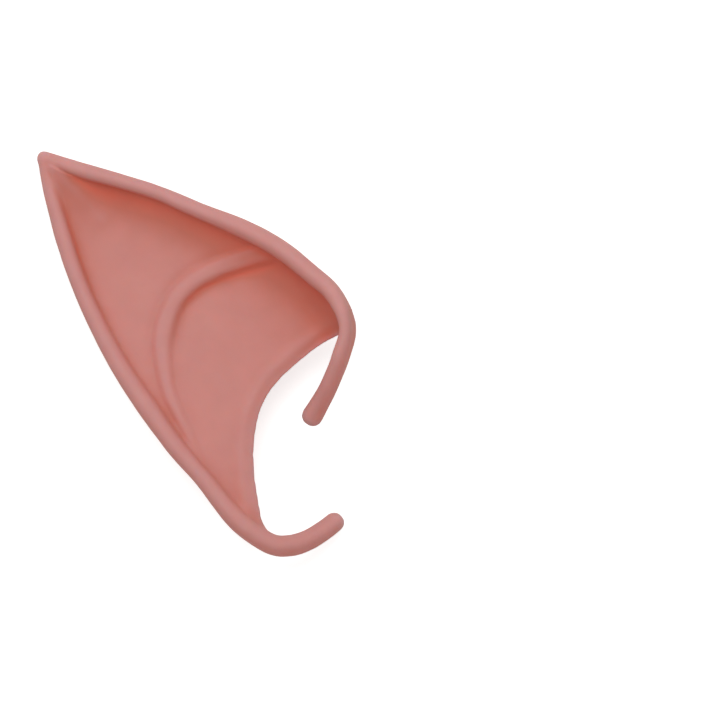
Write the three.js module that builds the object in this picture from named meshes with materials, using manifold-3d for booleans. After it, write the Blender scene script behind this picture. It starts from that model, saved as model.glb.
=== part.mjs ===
// A soft latex elf ear: a hollow pointed cap that slips over the wearer's own ear and hooks in
// front of it and under its lobe. It lies on its flat back. Seen from above, the tip is at the
// upper left and the mouth, where the wearer's ear goes in, is at the right.
// Millimetres, +Z up. The origin is under the middle of the outline, on the surface it lies on.
import * as THREE from "three";
import { mergeVertices } from "three/addons/utils/BufferGeometryUtils.js";
import Module from "manifold-3d";

// Overall sizes
const EAR_WIDTH = 83; // plan, from the tip's side to the bend of the upper hook
const EAR_HEIGHT = 105.5; // plan, from the tip down to the lower hook
const EAR_DEPTH = 24; // from the back to the middle of the rim where it is highest

// The cast skin and what is raised on it
const WALL = 1.3; // thickness of the latex round the pocket
const RIM_RADIUS = 2.6; // rounding of the rolled rim where it is thickest
const RIDGE_RISE = 1.9; // height of the curved inner ridge over the panel
const RIDGE_HALF_WIDTH = 2.1;
const BOWL_STEP = 1.1; // how much lower the panel is inside the ridge than outside it
const BOWL_REACH = 0.25; // share of the ear's width over which that step evens out again
const BOWL_BLEND = 0.06; // share of the ear's width over which the ridge's two arms blend
const LIP_RISE = 0.5; // soft swelling of the panel along the mouth
const LIP_HALF_WIDTH = 2.4;
const LIP_INSET = 3.2; // from the mouth's edge to the top of that swelling

// Shape of a section across the ear
const BACK_SQUARENESS = 2.7; // 2 is an ellipse, more is boxier with a flatter back
const WALL_FALL = 2.4; // how steeply the panel's wall drops away from the rim
const WALL_SPAN = 0.6; // the most of a section's width that one such wall runs out over
const SIDE_COVER = 0.8; // share of the rim's radius that the side wall reaches out to
const CEILING_SLOPE = 2; // how steeply the pocket's ceiling rises away from under the rim

// The rim from the tip to the end of each hook. x and y are shares of the ear's width and height
// from the outline's lower left corner. level is the height of the roll's centre as a share of
// the depth. radius, drop and lean are shares of RIM_RADIUS: drop is how far the roll runs down
// as a wall, and lean is how far that wall's foot stands out past the roll.
// Rows 0 to 10 border the pocket, and the rows after them are the hook.
const UPPER_RIM = [
  { x: 0.026, y: 0.979, level: 0.19, radius: 0.75, drop: 0.1, lean: 0 },
  { x: 0.135, y: 0.955, level: 0.32, radius: 0.8, drop: 0.5, lean: 0 },
  { x: 0.265, y: 0.924, level: 0.41, radius: 0.82, drop: 0.8, lean: 0 },
  { x: 0.387, y: 0.893, level: 0.48, radius: 0.82, drop: 1, lean: 0 },
  { x: 0.518, y: 0.848, level: 0.56, radius: 0.87, drop: 1.2, lean: 0 },
  { x: 0.647, y: 0.809, level: 0.64, radius: 0.95, drop: 1.4, lean: 0 },
  { x: 0.758, y: 0.762, level: 0.73, radius: 0.95, drop: 1.5, lean: 0 },
  { x: 0.862, y: 0.697, level: 0.83, radius: 0.92, drop: 1.7, lean: 0 },
  { x: 0.932, y: 0.643, level: 0.925, radius: 0.85, drop: 1.9, lean: 0.1 },
  { x: 0.966, y: 0.566, level: 1, radius: 0.65, drop: 2.1, lean: 0.5 },
  { x: 0.954, y: 0.495, level: 0.95, radius: 0.8, drop: 1.6, lean: 0.25 },
  { x: 0.925, y: 0.431, level: 0.81, radius: 0.94, drop: 0.6, lean: 0.05 },
  { x: 0.901, y: 0.391, level: 0.69, radius: 1, drop: 0.1, lean: 0 },
  { x: 0.868, y: 0.344, level: 0.56, radius: 0.98, drop: 0, lean: 0 },
];
const LOWER_RIM = [
  { x: 0.026, y: 0.979, level: 0.19, radius: 0.7, drop: 0.1, lean: 0 },
  { x: 0.051, y: 0.887, level: 0.225, radius: 0.8, drop: 0.3, lean: 0 },
  { x: 0.09, y: 0.777, level: 0.265, radius: 0.85, drop: 0.3, lean: 0 },
  { x: 0.138, y: 0.667, level: 0.31, radius: 0.85, drop: 0.3, lean: 0 },
  { x: 0.199, y: 0.561, level: 0.375, radius: 0.9, drop: 0.3, lean: 0 },
  { x: 0.275, y: 0.453, level: 0.445, radius: 0.95, drop: 0.3, lean: 0 },
  { x: 0.358, y: 0.356, level: 0.505, radius: 1, drop: 0.3, lean: 0 },
  { x: 0.441, y: 0.267, level: 0.55, radius: 0.95, drop: 0.3, lean: 0 },
  { x: 0.525, y: 0.186, level: 0.575, radius: 0.9, drop: 0.2, lean: 0 },
  { x: 0.628, y: 0.091, level: 0.59, radius: 1.02, drop: 0.2, lean: 0 },
  { x: 0.728, y: 0.033, level: 0.56, radius: 1.12, drop: 0.15, lean: 0 },
  { x: 0.795, y: 0.025, level: 0.475, radius: 1.1, drop: 0.05, lean: 0 },
  { x: 0.853, y: 0.041, level: 0.36, radius: 1.05, drop: 0, lean: 0 },
  { x: 0.903, y: 0.065, level: 0.26, radius: 1, drop: 0, lean: 0 },
  { x: 0.934, y: 0.083, level: 0.205, radius: 0.95, drop: 0, lean: 0 },
];

// The sunken panel in front, at each of the rows that border the pocket. The floors are its
// heights beside the two rims, as shares of the depth, and the fillets are how far the two walls
// run out into it, as shares of the width.
const PANEL = [
  { lowerFloor: 0.3, upperFloor: 0.3, lowerFillet: 0.03, upperFillet: 0.05 },
  { lowerFloor: 0.22, upperFloor: 0.215, lowerFillet: 0.04, upperFillet: 0.09 },
  { lowerFloor: 0.22, upperFloor: 0.21, lowerFillet: 0.05, upperFillet: 0.13 },
  { lowerFloor: 0.26, upperFloor: 0.255, lowerFillet: 0.055, upperFillet: 0.15 },
  { lowerFloor: 0.33, upperFloor: 0.32, lowerFillet: 0.06, upperFillet: 0.16 },
  { lowerFloor: 0.4, upperFloor: 0.39, lowerFillet: 0.06, upperFillet: 0.16 },
  { lowerFloor: 0.46, upperFloor: 0.45, lowerFillet: 0.06, upperFillet: 0.16 },
  { lowerFloor: 0.51, upperFloor: 0.5, lowerFillet: 0.06, upperFillet: 0.15 },
  { lowerFloor: 0.545, upperFloor: 0.545, lowerFillet: 0.06, upperFillet: 0.13 },
  { lowerFloor: 0.555, upperFloor: 0.575, lowerFillet: 0.06, upperFillet: 0.1 },
  { lowerFloor: 0.54, upperFloor: 0.59, lowerFillet: 0.06, upperFillet: 0.08 },
];

// The back at the same rows: its heights towards the two rims, as shares of the depth. Where they
// are below nothing, the back lies flat on what carries it over more of its width.
const BACK = [
  { lower: 0.1, upper: 0.1 },
  { lower: 0.04, upper: 0.04 },
  { lower: 0, upper: 0 },
  { lower: -0.025, upper: -0.025 },
  { lower: -0.04, upper: -0.04 },
  { lower: -0.04, upper: -0.04 },
  { lower: -0.04, upper: -0.04 },
  { lower: -0.04, upper: -0.04 },
  { lower: -0.02, upper: 0 },
  { lower: 0.1, upper: 0.125 },
  { lower: 0.36, upper: 0.3 },
];

// The inner ridge, from under the upper rim round to where it fades out beside the lower one.
// rise and step are shares of RIDGE_RISE and BOWL_STEP, width of RIDGE_HALF_WIDTH.
const RIDGE = [
  { x: 0.76, y: 0.765, rise: 0.5, step: 0.8, width: 1 },
  { x: 0.692, y: 0.748, rise: 0.9, step: 1, width: 1 },
  { x: 0.631, y: 0.733, rise: 1, step: 1, width: 1 },
  { x: 0.563, y: 0.714, rise: 1, step: 1, width: 1 },
  { x: 0.498, y: 0.688, rise: 1, step: 0.9, width: 1 },
  { x: 0.444, y: 0.65, rise: 1, step: 0.7, width: 1 },
  { x: 0.41, y: 0.603, rise: 1, step: 0.5, width: 1 },
  { x: 0.39, y: 0.546, rise: 0.95, step: 0.35, width: 1 },
  { x: 0.389, y: 0.497, rise: 0.9, step: 0.3, width: 1 },
  { x: 0.399, y: 0.44, rise: 0.85, step: 0.3, width: 0.95 },
  { x: 0.419, y: 0.386, rise: 0.75, step: 0.25, width: 0.85 },
  { x: 0.454, y: 0.33, rise: 0.6, step: 0.2, width: 0.75 },
  { x: 0.49, y: 0.275, rise: 0.35, step: 0.1, width: 0.7 },
  { x: 0.53, y: 0.215, rise: 0, step: 0, width: 0.7 },
];

// The mouth's edge, from under the upper hook round to the lower hook. x and y are the edge of
// the panel in front, backX and backY the edge of the back, and bend is the height, as a share of
// the depth, from which the side runs back from the one to the other.
const MOUTH = [
  { x: 0.965, y: 0.553, backX: 0.99, backY: 0.64, bend: 0.75 },
  { x: 0.93, y: 0.542, backX: 0.93, backY: 0.61, bend: 0.65 },
  { x: 0.886, y: 0.519, backX: 0.87, backY: 0.565, bend: 0.525 },
  { x: 0.841, y: 0.492, backX: 0.81, backY: 0.525, bend: 0.45 },
  { x: 0.798, y: 0.463, backX: 0.76, backY: 0.49, bend: 0.4 },
  { x: 0.758, y: 0.432, backX: 0.715, backY: 0.455, bend: 0.375 },
  { x: 0.724, y: 0.397, backX: 0.68, backY: 0.415, bend: 0.35 },
  { x: 0.7, y: 0.357, backX: 0.655, backY: 0.37, bend: 0.34 },
  { x: 0.688, y: 0.315, backX: 0.642, backY: 0.32, bend: 0.34 },
  { x: 0.68, y: 0.26, backX: 0.635, backY: 0.265, bend: 0.34 },
  { x: 0.683, y: 0.205, backX: 0.635, backY: 0.21, bend: 0.35 },
  { x: 0.69, y: 0.161, backX: 0.64, backY: 0.17, bend: 0.36 },
  { x: 0.7, y: 0.117, backX: 0.64, backY: 0.135, bend: 0.375 },
  { x: 0.711, y: 0.083, backX: 0.635, backY: 0.105, bend: 0.45 },
  { x: 0.733, y: 0.055, backX: 0.61, backY: 0.08, bend: 0.525 },
];
// Corners that close the cut past the hooks, clear of the ear.
const MOUTH_OUTSIDE = [
  { x: 0.68, y: -0.2, backX: 0.54, backY: -0.2, bend: 0.525 },
  { x: 1.3, y: -0.2, backX: 1.3, backY: -0.2, bend: 0.375 },
  { x: 1.3, y: 0.56, backX: 1.3, backY: 0.66, bend: 0.75 },
];

// How finely the surfaces are divided
const LAST_SECTION = PANEL.length - 1;
const STEPS_PER_SECTION = 5;
const COLUMNS = 26;
const POCKET_STEPS_PER_SECTION = 3;
const POCKET_COLUMNS = 13;
const RIM_CROWDING = 0.75; // share by which a section's columns crowd towards the rims
const RIM_SIDES = 12;
const RIM_STEPS_PER_ROW = 4;
const BAND_STEPS_PER_ROW = 2;
const BAND_COLUMNS = 8;
const BAND_SINK = 0.12; // how far a raised band's feet lie under the panel's surface
const CAP_STEPS = 3;
const CAP_LAST_STEP = 0.85; // share of the last step at which a rounded end is closed flat
const ROW_NUDGE = 0.01; // step, in rows, over which the rim's direction is read
const ROW_HALVINGS = 18; // halvings that find the section through a point
const WELD = 1e-5; // points closer together than this are one
const TIP_START = 0.12; // the first section, in rows, hidden in the rim's tip
const POCKET_TIP_GAP = 1; // height at which the pocket ends short of the tip, cast solid
const POCKET_SIDE_GAP = 0.4; // height of the pocket along its sides, where its walls meet
const POCKET_PROBES = 400; // places across a section where the pocket's height is tried
const OVERRUN = 2; // how far a cut runs past what it cuts
const CAP_BOW = 1e-5; // bowing per millimetre of the flat ends' outlines while they are divided

const wasm = await Module();
wasm.setup();

const mix = (a, b, share) => a + (b - a) * share;

// A value of a table's column between its rows, on a smooth curve through them.
function columnAt(rows, column, at) {
  const last = rows.length - 1;
  const before = Math.min(Math.floor(at), last - 1);
  const q = at - before;
  const value = (row) => rows[THREE.MathUtils.clamp(row, 0, last)][column];
  const [a, b, c, d] = [before - 1, before, before + 1, before + 2].map(value);
  const linear = c - a;
  const square = 2 * a - 5 * b + 4 * c - d;
  const cube = 3 * b - a - 3 * c + d;
  return b + 0.5 * q * (linear + q * (square + q * cube));
}

const planPoint = (rows, at) =>
  new THREE.Vector2(columnAt(rows, "x", at) * EAR_WIDTH, columnAt(rows, "y", at) * EAR_HEIGHT);

// A table's rows as a smooth line in plan, with the row number that each point stands for.
function planLine(rows, stepsPerRow) {
  const count = (rows.length - 1) * stepsPerRow;
  return Array.from({ length: count + 1 }, (_, i) => ({
    at: i / stepsPerRow,
    point: planPoint(rows, i / stepsPerRow),
  }));
}

// The rim at a row: its centre, its direction, the way out of the ear, and its section's sizes.
function rimAt(rows, side, at) {
  const last = rows.length - 1;
  const from = planPoint(rows, Math.max(at - ROW_NUDGE, 0));
  const to = planPoint(rows, Math.min(at + ROW_NUDGE, last));
  const along = to.sub(from).normalize();
  return {
    centre: planPoint(rows, at),
    along,
    out: new THREE.Vector2(-along.y * side, along.x * side),
    level: columnAt(rows, "level", at) * EAR_DEPTH,
    radius: columnAt(rows, "radius", at) * RIM_RADIUS,
    drop: Math.max(columnAt(rows, "drop", at), 0) * RIM_RADIUS,
    lean: Math.max(columnAt(rows, "lean", at), 0) * RIM_RADIUS,
  };
}
const upperRimAt = (at) => rimAt(UPPER_RIM, 1, at);
const lowerRimAt = (at) => rimAt(LOWER_RIM, -1, at);

// Distance from a point to a line in plan, the row it is nearest to, and the side it lies on.
function nearest(line, point) {
  let best = { distance: Infinity };
  for (let i = 1; i < line.length; i++) {
    const a = line[i - 1];
    const run = line[i].point.clone().sub(a.point);
    const offset = point.clone().sub(a.point);
    const share = THREE.MathUtils.clamp(offset.dot(run) / run.lengthSq(), 0, 1);
    const distance = offset.distanceTo(run.clone().multiplyScalar(share));
    if (distance < best.distance)
      best = {
        distance,
        at: mix(a.at, line[i].at, share),
        side: Math.sign(run.x * offset.y - run.y * offset.x),
      };
  }
  return best;
}

const RIDGE_LINE = planLine(RIDGE, BAND_STEPS_PER_ROW);
const LIP_ROWS = MOUTH.slice(0, -1); // the swelling ends one row short of the lower hook

// How much lower the panel lies at a point because it is inside the ridge.
function bowlAt(point) {
  const { distance, side } = nearest(RIDGE_LINE, point);
  const weights = RIDGE_LINE.map((on) =>
    Math.exp((distance - on.point.distanceTo(point)) / (EAR_WIDTH * BOWL_BLEND)),
  );
  const total = weights.reduce((sum, weight) => sum + weight);
  const step = weights.reduce((sum, w, i) => sum + w * columnAt(RIDGE, "step", RIDGE_LINE[i].at), 0);
  const inside = THREE.MathUtils.smoothstep(side * distance, -RIDGE_HALF_WIDTH, RIDGE_HALF_WIDTH);
  return (step / total) * BOWL_STEP * inside * Math.exp(-distance / (EAR_WIDTH * BOWL_REACH));
}

// A section across the ear: its two side points in plan, and the heights of its front and back
// at a share of the way from the lower side to the upper.
function sectionAt(at) {
  const lower = lowerRimAt(at);
  const upper = upperRimAt(at);
  const panel = (column) => columnAt(PANEL, column, at);
  const reachOf = (rim) => rim.radius * SIDE_COVER + rim.lean / 2;
  const sideOf = (rim) => rim.out.clone().multiplyScalar(reachOf(rim)).add(rim.centre);
  const sideLevel = (rim) => rim.level - rim.drop / 2;
  const lowerSide = sideOf(lower);
  const upperSide = sideOf(upper);
  const width = lowerSide.distanceTo(upperSide);
  const wallAt = (rim, distance, fillet, floor) => {
    const reach = Math.min(fillet * EAR_WIDTH, width * WALL_SPAN);
    const run = Math.max(distance - reachOf(rim), 0) / reach;
    return (rim.level - floor) * Math.max(1 - run, 0) ** WALL_FALL;
  };
  const pointAt = (s) => lowerSide.clone().lerp(upperSide, s);
  const back = (s) => {
    const arch = (1 - Math.abs(2 * s - 1) ** BACK_SQUARENESS) ** (1 / BACK_SQUARENESS);
    const bottom = mix(columnAt(BACK, "lower", at), columnAt(BACK, "upper", at), s) * EAR_DEPTH;
    return Math.max(mix(mix(sideLevel(lower), sideLevel(upper), s), bottom, arch), 0);
  };
  const front = (s) => {
    const floor = mix(panel("lowerFloor"), panel("upperFloor"), s) * EAR_DEPTH;
    const lowerWall = wallAt(lower, s * width, panel("lowerFillet"), floor);
    const upperWall = wallAt(upper, (1 - s) * width, panel("upperFillet"), floor);
    return floor + lowerWall + upperWall - bowlAt(pointAt(s));
  };
  const underRim = (rim, distance) => {
    const underside = rim.level - rim.drop - rim.radius;
    return underside + Math.max(distance - 2 * rim.radius, 0) * CEILING_SLOPE;
  };
  const underRims = (s) =>
    Math.min(underRim(lower, s * width), underRim(upper, (1 - s) * width));
  const sides = [sideLevel(lower), sideLevel(upper)];
  return { lowerSide, upperSide, sides, width, pointAt, back, front, underRims };
}

const lift = (point, level) => new THREE.Vector3(point.x, point.y, level);

// Shares of the way across a section, closer together towards the rims.
function columnShares(columns) {
  return Array.from({ length: columns - 1 }, (_, i) => {
    const even = (i + 1) / columns;
    return mix(even, (1 - Math.cos(Math.PI * even)) / 2, RIM_CROWDING);
  });
}

// One closed ring round the outside of a section: over the front from the lower rim to the upper
// one, and back under it.
function outsideRing(at) {
  const { lowerSide, upperSide, sides, pointAt, front, back } = sectionAt(at);
  const over = columnShares(COLUMNS).map((s) => lift(pointAt(s), front(s)));
  const under = columnShares(COLUMNS / 2).map((s) => lift(pointAt(s), back(s)));
  return [lift(lowerSide, sides[0]), ...over, lift(upperSide, sides[1]), ...under.reverse()];
}

// One closed ring round the pocket at a section, a wall's thickness in from the outside, or
// nothing where the walls meet.
function pocketRing(at) {
  const { width, pointAt, front, back, underRims } = sectionAt(at);
  const shift = WALL / width;
  const beside = (level, s) => [Math.max(s - shift, 0), Math.min(s + shift, 1)].map(level);
  const floor = (s) => Math.max(...beside(back, s)) + WALL;
  const ceiling = (s) => Math.min(Math.min(...beside(front, s)) - WALL, underRims(s));
  const shares = Array.from({ length: POCKET_PROBES + 1 }, (_, i) => i / POCKET_PROBES);
  const open = shares.filter((s) => ceiling(s) - floor(s) > POCKET_SIDE_GAP);
  if (!open.some((s) => ceiling(s) - floor(s) > POCKET_TIP_GAP)) return null;
  const side = (s) => lift(pointAt(s), mix(floor(s), ceiling(s), 0.5));
  const inner = columnShares(POCKET_COLUMNS).map((share) => mix(open[0], open.at(-1), share));
  return [
    side(open[0]),
    ...inner.map((s) => lift(pointAt(s), ceiling(s))),
    side(open.at(-1)),
    ...inner.reverse().map((s) => lift(pointAt(s), floor(s))),
  ];
}

// The panel's height at a point in plan, from the section that runs through the point.
function panelLevelAt(point) {
  let from = TIP_START;
  let to = LAST_SECTION;
  for (let i = 0; i < ROW_HALVINGS; i++) {
    const middle = (from + to) / 2;
    const { lowerSide, upperSide } = sectionAt(middle);
    const past = upperSide.clone().sub(lowerSide).cross(point.clone().sub(lowerSide)) < 0;
    if (past) from = middle;
    else to = middle;
  }
  const section = sectionAt(from);
  const run = section.upperSide.clone().sub(section.lowerSide);
  const share = point.clone().sub(section.lowerSide).dot(run) / run.lengthSq();
  return section.front(THREE.MathUtils.clamp(share, 0, 1));
}

// A closed solid lofted through rings of equally many points, each end closed flat across.
function loft(rings) {
  const size = rings[0].length;
  const travel = rings[1][0].clone().sub(rings[0][0]);
  const turned = ringNormal(rings[0]).dot(travel) < 0;
  const faces = [];
  for (let r = 1; r < rings.length; r++)
    for (let i = 0; i < size; i++) {
      const a = (r - 1) * size + i;
      const b = (r - 1) * size + ((i + 1) % size);
      faces.push([a, b, b + size], [a, b + size, a + size]);
    }
  for (const triangle of flatTriangles(rings[0])) faces.push(triangle.reverse());
  for (const triangle of flatTriangles(rings.at(-1)))
    faces.push(triangle.map((i) => (rings.length - 1) * size + i));
  const geometry = new THREE.BufferGeometry().setFromPoints(rings.flat());
  geometry.setIndex(faces.flatMap((face) => (turned ? face.reverse() : face)));
  return solidOf(geometry);
}

function ringNormal(ring) {
  const normal = new THREE.Vector3();
  ring.forEach((p, i) => {
    const next = ring[(i + 1) % ring.length];
    normal.add(p.clone().sub(ring[0]).cross(next.clone().sub(ring[0])));
  });
  return normal.normalize();
}

// Triangles across a flat ring, in the ring's own turning direction. They are chosen on a very
// slightly bowed copy, so that points along a straight edge all keep a corner.
function flatTriangles(ring) {
  const normal = ringNormal(ring);
  const across = ring[1].clone().sub(ring[0]).projectOnPlane(normal).normalize();
  const up = new THREE.Vector3().crossVectors(normal, across);
  const flat = ring.map((p) => {
    const x = p.clone().sub(ring[0]).dot(across);
    const y = p.clone().sub(ring[0]).dot(up);
    return new THREE.Vector2(x + CAP_BOW * y * y, y + CAP_BOW * x * x);
  });
  return THREE.ShapeUtils.triangulateShape(flat, []);
}

function solidOf(geometry) {
  const merged = mergeVertices(geometry, WELD);
  return new wasm.Manifold(
    new wasm.Mesh({
      numProp: 3,
      vertProperties: new Float32Array(merged.attributes.position.array),
      triVerts: Uint32Array.from(merged.index.array),
    }),
  );
}

// Section numbers from one row to another, evenly stepped.
function stepsBetween(from, to, perRow) {
  const count = Math.ceil((to - from) * perRow);
  return Array.from({ length: count + 1 }, (_, i) => mix(from, to, i / count));
}

// A low rounded band raised on the panel along a line. offset moves it to the left of the line.
function raisedBand(line, offset, riseAt, halfWidthAt) {
  const rings = line.map(({ at, point }, i) => {
    const before = line[Math.max(i - 1, 0)].point;
    const after = line[Math.min(i + 1, line.length - 1)].point;
    const along = after.clone().sub(before).normalize();
    const left = new THREE.Vector2(-along.y, along.x);
    const pointAt = (share) =>
      left.clone().multiplyScalar(offset + share * halfWidthAt(at)).add(point);
    const sunkTo = (share, height) => lift(pointAt(share), panelLevelAt(pointAt(share)) + height);
    const ring = [sunkTo(1, -WALL / 2), sunkTo(-1, -WALL / 2)];
    for (let column = 0; column <= BAND_COLUMNS; column++) {
      const share = (2 * column) / BAND_COLUMNS - 1;
      const rise = riseAt(at) * Math.cos((Math.PI * share) / 2) ** 2;
      ring.push(sunkTo(share, rise - BAND_SINK));
    }
    return ring;
  });
  return loft(rings);
}

// The curved inner ridge, and the soft swelling along the mouth, which fades at both hooks.
const ridge = () =>
  raisedBand(
    RIDGE_LINE,
    0,
    (at) => columnAt(RIDGE, "rise", at) * RIDGE_RISE,
    (at) => columnAt(RIDGE, "width", at) * RIDGE_HALF_WIDTH,
  );
const lip = () =>
  raisedBand(
    planLine(LIP_ROWS, BAND_STEPS_PER_ROW),
    -LIP_INSET,
    (at) => LIP_RISE * Math.min(at, LIP_ROWS.length - 1 - at, 1),
    () => LIP_HALF_WIDTH,
  );

// The outside of the pocket, filled in.
function body() {
  const rows = stepsBetween(TIP_START, LAST_SECTION, STEPS_PER_SECTION);
  return loft(rows.map(outsideRing));
}

// The space that the wearer's ear goes into, run out past the body's open end.
function pocket() {
  const rows = stepsBetween(TIP_START, LAST_SECTION, POCKET_STEPS_PER_SECTION);
  const rings = rows.map(pocketRing);
  rings.splice(0, rings.lastIndexOf(null) + 1);
  const ends = [lowerRimAt(LAST_SECTION).centre, upperRimAt(LAST_SECTION).centre];
  const run = ends[1].clone().sub(ends[0]).normalize();
  const outward = new THREE.Vector3(run.y, -run.x, 0).multiplyScalar(OVERRUN);
  rings.push(rings.at(-1).map((p) => p.clone().add(outward)));
  return loft(rings);
}

// What is trimmed off at the mouth: all that lies past the panel's edge, and more of the back.
function mouthCut() {
  const columns = Object.keys(MOUTH[0]);
  const smooth = stepsBetween(0, MOUTH.length - 1, BAND_STEPS_PER_ROW).map((at) =>
    Object.fromEntries(columns.map((column) => [column, columnAt(MOUTH, column, at)])),
  );
  const outline = [...smooth, ...MOUTH_OUTSIDE];
  const place = (x, y, level) => new THREE.Vector3(x * EAR_WIDTH, y * EAR_HEIGHT, level);
  return loft([
    outline.map(({ backX, backY }) => place(backX, backY, -OVERRUN)),
    outline.map(({ x, y, bend }) => place(x, y, bend * EAR_DEPTH)),
    outline.map(({ x, y }) => place(x, y, EAR_DEPTH + RIM_RADIUS + OVERRUN)),
  ]);
}

// A ring round the rolled rim: a half circle over it, and one under the foot of its wall.
function rimRing(rim, shrink = 1, shift = 0) {
  return Array.from({ length: RIM_SIDES }, (_, i) => {
    const angle = (2 * Math.PI * (i + 0.5)) / RIM_SIDES;
    const foot = Math.sin(angle) < 0 ? 1 : 0;
    const outward = rim.radius * shrink * Math.cos(angle) + rim.lean * foot * shrink;
    const level = rim.level + rim.radius * shrink * Math.sin(angle) - rim.drop * foot * shrink;
    return new THREE.Vector3(
      rim.centre.x + rim.out.x * outward + rim.along.x * shift,
      rim.centre.y + rim.out.y * outward + rim.along.y * shift,
      level,
    );
  });
}

// The rolled rim from the tip to the end of its hook, both ends rounded.
function rolledRim(rows, readRim) {
  const last = rows.length - 1;
  const cap = (at, way) =>
    Array.from({ length: CAP_STEPS }, (_, i) => {
      const angle = ((i + CAP_LAST_STEP) / CAP_STEPS) * (Math.PI / 2);
      const rim = readRim(at);
      return rimRing(rim, Math.cos(angle), way * rim.radius * Math.sin(angle));
    });
  const rings = [
    ...cap(0, -1).reverse(),
    ...stepsBetween(0, last, RIM_STEPS_PER_ROW).map((at) => rimRing(readRim(at))),
    ...cap(last, 1),
  ];
  return loft(rings);
}

// The whole ear as cast and trimmed, in one piece.
function earSkin() {
  const upper = rolledRim(UPPER_RIM, upperRimAt);
  const lower = rolledRim(LOWER_RIM, lowerRimAt);
  const shell = body().subtract(pocket()).add(ridge()).add(lip());
  return shell.subtract(mouthCut()).add(upper).add(lower);
}

// A finished solid as a geometry, moved so that its plan's middle is at the origin.
function centredGeometry(solid) {
  const { vertProperties, triVerts } = solid.getMesh();
  const geometry = new THREE.BufferGeometry();
  geometry.setAttribute("position", new THREE.BufferAttribute(vertProperties, 3));
  geometry.setIndex(new THREE.BufferAttribute(triVerts, 1));
  geometry.computeBoundingBox();
  const middle = geometry.boundingBox.getCenter(new THREE.Vector3());
  geometry.translate(-middle.x, -middle.y, 0);
  geometry.computeVertexNormals();
  return geometry;
}

const latex = new THREE.MeshStandardMaterial({ color: "#cf837b", roughness: 0.6, metalness: 0 });

const ear = new THREE.Group();
const skin = new THREE.Mesh(centredGeometry(earSkin()), latex);
skin.name = "ear_skin";
ear.add(skin);

export default ear;
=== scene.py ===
import math

import bmesh
import bpy
import numpy as np
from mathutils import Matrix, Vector
from mathutils.bvhtree import BVHTree
from mathutils.kdtree import KDTree


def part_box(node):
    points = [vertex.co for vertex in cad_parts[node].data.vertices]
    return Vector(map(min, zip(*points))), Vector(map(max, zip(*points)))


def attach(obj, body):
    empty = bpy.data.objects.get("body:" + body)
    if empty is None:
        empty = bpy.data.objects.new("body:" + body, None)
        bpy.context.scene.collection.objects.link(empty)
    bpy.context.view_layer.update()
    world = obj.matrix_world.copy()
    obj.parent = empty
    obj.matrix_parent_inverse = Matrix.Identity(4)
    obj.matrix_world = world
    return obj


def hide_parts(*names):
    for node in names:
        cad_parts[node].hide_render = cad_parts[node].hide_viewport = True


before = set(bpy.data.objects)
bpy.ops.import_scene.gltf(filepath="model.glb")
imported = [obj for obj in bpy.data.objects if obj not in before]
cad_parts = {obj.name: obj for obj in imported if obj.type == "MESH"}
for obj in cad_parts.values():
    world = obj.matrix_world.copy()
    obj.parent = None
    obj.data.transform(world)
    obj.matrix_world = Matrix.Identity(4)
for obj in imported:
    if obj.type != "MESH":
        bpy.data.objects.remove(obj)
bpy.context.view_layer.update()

# The rolled rim
# A solid roll of latex edges the real cap on both sides of its point, and each end runs on as a
# hook: the upper one goes in front of the wearer's ear, the lower one under its lobe. Both rolls
# come out of the mould in one piece with the skin.
MM = 0.001
EAR_WIDTH = 83 * MM
EAR_HEIGHT = 105.5 * MM
EAR_DEPTH = 24 * MM
RIM_RADIUS = 2.6 * MM
RIM_SIDES = 36
RIM_STEPS_PER_ROW = 12
CAP_STEPS = 8
CAP_FIRST_STEP = 0.9
CAP_ROUNDNESS = 0.75
ROW_NUDGE = 0.01

# x and y are shares of the width and height, level of the depth, the rest of RIM_RADIUS.
RIM_COLUMNS = ("x", "y", "level", "radius", "drop", "lean")
UPPER_RIM = [
    (0.026, 0.979, 0.19, 0.75, 0.1, 0),
    (0.135, 0.952, 0.32, 0.78, 0.5, 0),
    (0.265, 0.923, 0.41, 0.74, 0.8, 0),
    (0.387, 0.8925, 0.48, 0.72, 1, 0),
    (0.518, 0.848, 0.56, 0.8, 1.2, 0),
    (0.647, 0.806, 0.64, 0.92, 1.4, 0),
    (0.758, 0.7595, 0.73, 0.95, 1.5, 0),
    (0.862, 0.695, 0.83, 0.92, 1.7, 0),
    (0.932, 0.643, 0.925, 0.85, 1.9, 0.1),
    (0.969, 0.566, 1, 0.65, 2.1, 0.5),
    (0.954, 0.495, 0.95, 0.8, 1.6, 0.25),
    (0.926, 0.431, 0.81, 0.9, 0.6, 0.05),
    (0.9015, 0.391, 0.69, 0.95, 0.1, 0),
    (0.868, 0.346, 0.56, 1.08, 0, 0),
]
LOWER_RIM = [
    (0.026, 0.979, 0.19, 0.7, 0.1, 0),
    (0.051, 0.887, 0.225, 0.8, 0.3, 0),
    (0.09, 0.777, 0.265, 0.85, 0.3, 0),
    (0.138, 0.667, 0.31, 0.85, 0.3, 0),
    (0.199, 0.561, 0.375, 0.9, 0.3, 0),
    (0.275, 0.453, 0.445, 0.95, 0.3, 0),
    (0.358, 0.356, 0.505, 1, 0.3, 0),
    (0.441, 0.267, 0.55, 0.95, 0.3, 0),
    (0.527, 0.188, 0.575, 0.88, 0.2, 0),
    (0.628, 0.091, 0.59, 1.02, 0.2, 0),
    (0.728, 0.033, 0.56, 1.06, 0.15, 0),
    (0.795, 0.025, 0.475, 1.1, 0.05, 0),
    (0.853, 0.039, 0.36, 1.05, 0, 0),
    (0.903, 0.0625, 0.26, 1.03, 0, 0),
    (0.934, 0.081, 0.205, 1.02, 0, 0),
]


def by_column(columns, rows):
    return dict(zip(columns, np.array(rows, float).T))


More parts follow.
